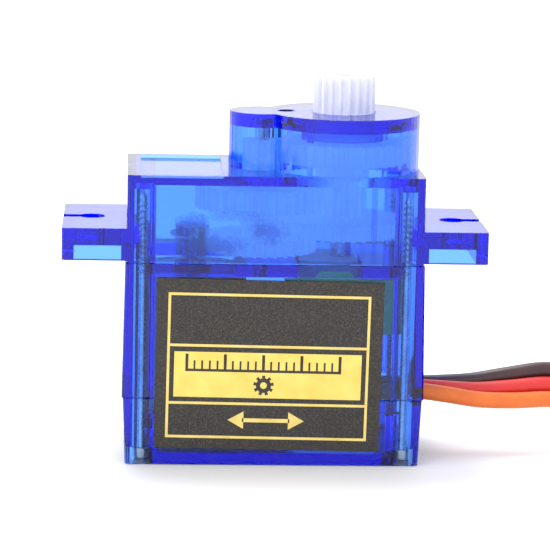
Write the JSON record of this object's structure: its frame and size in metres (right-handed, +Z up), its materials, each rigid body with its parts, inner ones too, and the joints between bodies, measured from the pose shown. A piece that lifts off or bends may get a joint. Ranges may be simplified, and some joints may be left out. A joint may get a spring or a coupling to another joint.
{
  "type": "hobby servo motor",
  "caption": "Small hobby servo in a clear blue case with two mounting ears, a splined output shaft and a ribbon lead ending in a socket plug.",
  "frame": {"origin": "bottom centre of the case, on the plane it stands on; the cable is not counted", "axes": "+X along the mounting ears towards the cable side, +Y to the back, away from the sticker, +Z up along the output shaft"},
  "size_m": [0.0802, 0.0164, 0.0293],
  "materials": {
    "translucent_blue": "clear blue moulded case plastic",
    "white_nylon": "moulded nylon",
    "steel": "plated steel",
    "motor_steel": "drawn can",
    "brass": "bright",
    "copper": "bright",
    "label_paper": "speckled dark sticker with gold rules and a yellow block",
    "dark_plastic": "moulded",
    "magnet_black": "sintered",
    "sensor_plastic": "moulded",
    "brown_laminate": "laminate",
    "green_laminate": "solder mask",
    "wire_brown": "satin sleeve",
    "wire_red": "satin sleeve",
    "wire_orange": "satin sleeve",
    "wire_black": "satin sleeve"
  },
  "bodies": {
    "case": {"top_case": "translucent_blue", "middle_case": "translucent_blue", "bottom_cover": "translucent_blue", "label": "label_paper", "case_screw_1": "steel", "case_screw_2": "steel", "case_screw_3": "steel", "case_screw_4": "steel", "idler_pin": "steel", "motor_can": "motor_steel", "motor_end_cap": "dark_plastic", "motor_terminal_left": "brass", "motor_terminal_right": "brass", "magnet_front": "magnet_black", "magnet_back": "magnet_black", "potentiometer_case": "sensor_plastic", "potentiometer_wafer": "brown_laminate", "potentiometer_pin_1": "brass", "potentiometer_pin_2": "brass", "potentiometer_pin_3": "brass", "circuit_board": "green_laminate", "control_chip": "dark_plastic", "transistor_1": "dark_plastic", "transistor_2": "dark_plastic", "capacitor": "sensor_plastic", "resistor_1": "dark_plastic", "resistor_2": "dark_plastic", "motor_wire_black": "wire_black", "motor_wire_red": "wire_red", "lead_brown": "wire_brown", "lead_red": "wire_red", "lead_orange": "wire_orange", "lead_coil": "wire_red", "lead_end_brown": "wire_brown", "lead_end_red": "wire_red", "lead_end_orange": "wire_orange", "plug_housing": "dark_plastic", "contact_1": "brass", "contact_2": "brass", "contact_3": "brass"},
    "output": {"output_gear": "white_nylon", "potentiometer_shaft": "steel"},
    "third_gear": {"gear_3": "white_nylon"},
    "second_gear": {"gear_2": "white_nylon"},
    "first_gear": {"gear_1": "white_nylon"},
    "rotor": {"motor_shaft": "steel", "motor_pinion": "steel", "armature": "motor_steel", "commutator": "copper"}
  },
  "joints": [
    {"name": "output_spin", "type": "hinge", "parent": "case", "child": "output", "pos_m": [0.0053, 0, 0.024], "axis": [0, 0, 1], "range_deg": [-90, 90]},
    {"name": "third_gear_spin", "type": "hinge", "parent": "case", "child": "third_gear", "pos_m": [-0.00095, 0, 0.02], "axis": [0, 0, 1], "range_deg": [-322, 322]},
    {"name": "second_gear_spin", "type": "hinge", "parent": "case", "child": "second_gear", "pos_m": [0.0053, 0, 0.019], "axis": [0, 0, 1], "range_deg": [-1134, 1134]},
    {"name": "first_gear_spin", "type": "hinge", "parent": "case", "child": "first_gear", "pos_m": [-0.00095, 0, 0.017], "axis": [0, 0, 1], "range_deg": [-4014, 4014]},
    {"name": "rotor_spin", "type": "hinge", "parent": "case", "child": "rotor", "pos_m": [-0.0062, 0, 0.01], "axis": [0, 0, 1], "range_deg": [-14710, 14710]}
  ],
  "couplings": [
    {"joint": "third_gear_spin", "follows": "output_spin", "ratio": -3.5455},
    {"joint": "second_gear_spin", "follows": "output_spin", "ratio": 12.57},
    {"joint": "first_gear_spin", "follows": "output_spin", "ratio": -44.567},
    {"joint": "rotor_spin", "follows": "output_spin", "ratio": 163.41}
  ]
}
